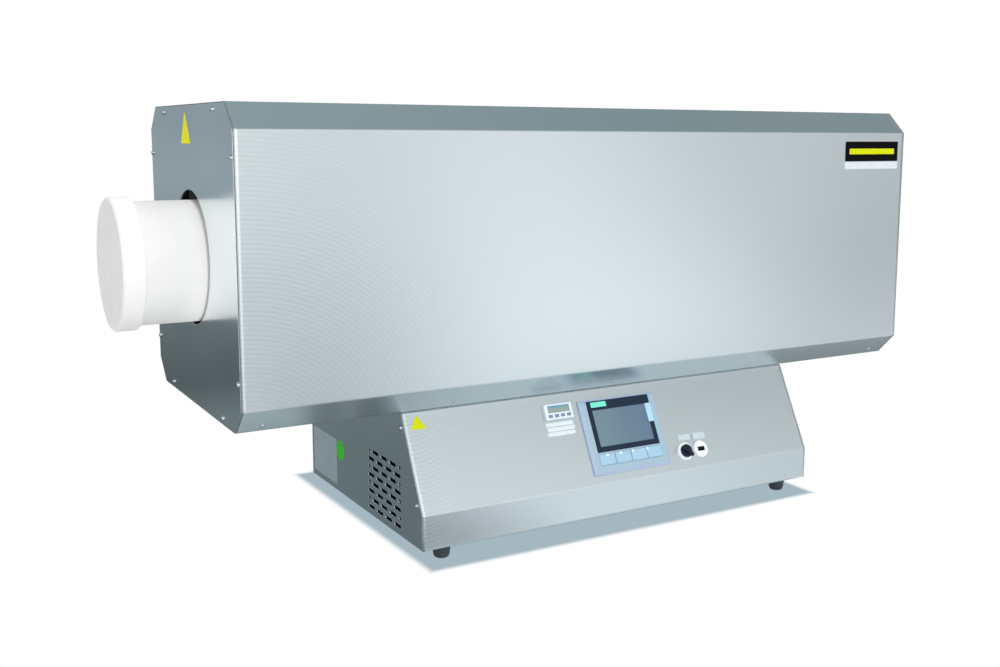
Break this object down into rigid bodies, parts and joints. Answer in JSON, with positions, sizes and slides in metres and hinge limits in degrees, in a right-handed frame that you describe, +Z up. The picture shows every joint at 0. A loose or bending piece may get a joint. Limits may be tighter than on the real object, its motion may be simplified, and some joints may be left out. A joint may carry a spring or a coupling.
{
  "type": "tube furnace",
  "caption": "Bench-top horizontal tube furnace: ceramic working tube with end plugs in a chamfered steel housing, on a sloped switchgear base with operating panel, limiter and switch.",
  "frame": {"origin": "centre of the bounding box's footprint, on the floor under the feet", "axes": "+X along the working tube towards the right end, +Y towards the back, +Z up; the operating panel faces -Y"},
  "size_m": [1.3906, 0.467, 0.624],
  "materials": {
    "textured_stainless": "satin, fine embossed texture",
    "plain_steel": "smooth satin",
    "inner_steel": "mill finish",
    "screw_steel": "polished",
    "ceramic_fibre": "matt pressed ceramic fibre",
    "plug_fibre": "matt pressed ceramic fibre",
    "heating_wire": "dull oxide",
    "ceramic": "matt unglazed ceramic, opaque",
    "foot_rubber": "matt",
    "panel_bezel": "fine matt",
    "panel_frame": "semi gloss",
    "display_glass": "smooth dark display",
    "function_key": "satin",
    "limiter_case": "satin",
    "limiter_glass": "smooth",
    "limiter_button": "matt",
    "collar_white": "semi gloss",
    "knob_black": "satin",
    "module_grey": "matt",
    "module_metal": "mill finish",
    "fan_plastic": "matt"
  },
  "bodies": {
    "furnace": {"housing_cover": "textured_stainless", "housing_bottom_pan": "plain_steel", "end_panel_left": "plain_steel", "end_panel_right": "plain_steel", "end_panel_screws": "screw_steel", "cover_screws": "screw_steel", "inner_casing_lower": "inner_steel", "inner_casing_upper": "inner_steel", "casing_supports": "inner_steel", "insulation_lower": "ceramic_fibre", "insulation_upper": "ceramic_fibre", "vestibule_left": "ceramic_fibre", "vestibule_right": "ceramic_fibre", "heating_zone_left": "heating_wire", "heating_zone_centre": "heating_wire", "heating_zone_right": "heating_wire", "thermocouples": "ceramic", "heater_terminals": "ceramic", "base_front_panel": "textured_stainless", "base_side_left": "plain_steel", "base_side_right": "plain_steel", "base_rear_panel": "plain_steel", "base_pan": "plain_steel", "base_top_plate": "plain_steel", "base_screws": "screw_steel", "feet": "foot_rubber", "foot_bolts": "screw_steel", "cable_grommet": "foot_rubber", "hmi_bezel": "panel_bezel", "hmi_housing": "module_grey", "hmi_frame": "panel_frame", "hmi_display": "display_glass", "limiter_housing": "limiter_case", "limiter_display": "limiter_glass", "switch_collar": "collar_white", "switch_body": "module_grey", "socket_collar": "collar_white", "socket_insert": "knob_black", "mounting_rail": "module_metal", "controller_module": "module_grey", "power_supply": "module_metal", "contactor": "module_grey", "relay_heat_sink": "module_metal", "solid_state_relay": "knob_black", "terminal_strip": "module_grey", "fan_frame": "fan_plastic", "cable_gland": "knob_black"},
    "working_tube": {"working_tube": "ceramic"},
    "plug_left": {"plug_left": "plug_fibre"},
    "plug_right": {"plug_right": "plug_fibre"},
    "fan_rotor": {"fan_rotor": "fan_plastic"},
    "switch_knob": {"switch_knob": "knob_black"},
    "hmi_key_1": {"hmi_key_1": "function_key"},
    "limiter_key_1": {"limiter_key_1": "limiter_button"},
    "hmi_key_2": {"hmi_key_2": "function_key"},
    "limiter_key_2": {"limiter_key_2": "limiter_button"},
    "hmi_key_3": {"hmi_key_3": "function_key"},
    "limiter_key_3": {"limiter_key_3": "limiter_button"},
    "hmi_key_4": {"hmi_key_4": "function_key"},
    "limiter_key_4": {"limiter_key_4": "limiter_button"}
  },
  "joints": [
    {"name": "working_tube_slide", "type": "slide", "parent": "furnace", "child": "working_tube", "axis": [1, 0, 0], "range_m": [-0.075, 0.075]},
    {"name": "plug_left_pull", "type": "slide", "parent": "working_tube", "child": "plug_left", "axis": [-1, 0, 0], "range_m": [0, 0.12]},
    {"name": "plug_right_pull", "type": "slide", "parent": "working_tube", "child": "plug_right", "axis": [1, 0, 0], "range_m": [0, 0.12]},
    {"name": "switch_turn", "type": "hinge", "parent": "furnace", "child": "switch_knob", "pos_m": [0.107, -0.22427, 0.09674], "axis": [0, -0.8896, 0.4567], "range_deg": [0, 90]},
    {"name": "fan_spin", "type": "hinge", "parent": "furnace", "child": "fan_rotor", "pos_m": [0.21, 0.185, 0.111], "axis": [0, 1, 0], "continuous": true},
    {"name": "hmi_key_1_press", "type": "slide", "parent": "furnace", "child": "hmi_key_1", "axis": [0, 0.8896, -0.4567], "range_m": [0, 0.0006], "stiffness_N_per_m": 900, "springref_m": -0.001},
    {"name": "hmi_key_2_press", "type": "slide", "parent": "furnace", "child": "hmi_key_2", "axis": [0, 0.8896, -0.4567], "range_m": [0, 0.0006], "stiffness_N_per_m": 900, "springref_m": -0.001},
    {"name": "hmi_key_3_press", "type": "slide", "parent": "furnace", "child": "hmi_key_3", "axis": [0, 0.8896, -0.4567], "range_m": [0, 0.0006], "stiffness_N_per_m": 900, "springref_m": -0.001},
    {"name": "hmi_key_4_press", "type": "slide", "parent": "furnace", "child": "hmi_key_4", "axis": [0, 0.8896, -0.4567], "range_m": [0, 0.0006], "stiffness_N_per_m": 900, "springref_m": -0.001},
    {"name": "limiter_key_1_press", "type": "slide", "parent": "furnace", "child": "limiter_key_1", "axis": [0, 0.8896, -0.4567], "range_m": [0, 0.0008], "stiffness_N_per_m": 600, "springref_m": -0.001},
    {"name": "limiter_key_2_press", "type": "slide", "parent": "furnace", "child": "limiter_key_2", "axis": [0, 0.8896, -0.4567], "range_m": [0, 0.0008], "stiffness_N_per_m": 600, "springref_m": -0.001},
    {"name": "limiter_key_3_press", "type": "slide", "parent": "furnace", "child": "limiter_key_3", "axis": [0, 0.8896, -0.4567], "range_m": [0, 0.0008], "stiffness_N_per_m": 600, "springref_m": -0.001},
    {"name": "limiter_key_4_press", "type": "slide", "parent": "furnace", "child": "limiter_key_4", "axis": [0, 0.8896, -0.4567], "range_m": [0, 0.0008], "stiffness_N_per_m": 600, "springref_m": -0.001}
  ]
}
